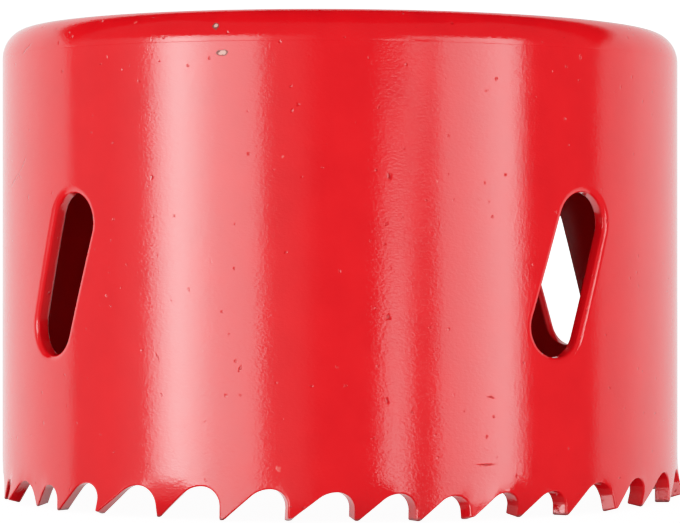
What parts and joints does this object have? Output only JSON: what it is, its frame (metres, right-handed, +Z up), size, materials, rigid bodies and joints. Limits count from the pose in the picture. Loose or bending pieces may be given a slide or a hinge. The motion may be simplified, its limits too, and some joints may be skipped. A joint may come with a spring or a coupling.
{
  "type": "hole saw",
  "caption": "Toothed steel cup that saws round holes, with a thick cap threaded for an arbor, drive-pin holes and leaning side slots, in glossy red paint",
  "frame": {"origin": "on the cup's axis, in the plane of the tooth tips", "axes": "+Z runs up the axis from the teeth to the flat back of the cap; two slots face +X and -Y, and the other two stand 95.3 and 182.65 degrees round from +X"},
  "size_m": [0.064, 0.064, 0.044],
  "materials": {
    "wall_paint": "glossy red enamel",
    "cap_paint": "glossy red enamel"
  },
  "bodies": {
    "root": {"toothed_wall": "wall_paint", "end_cap": "cap_paint"}
  },
  "joints": []
}
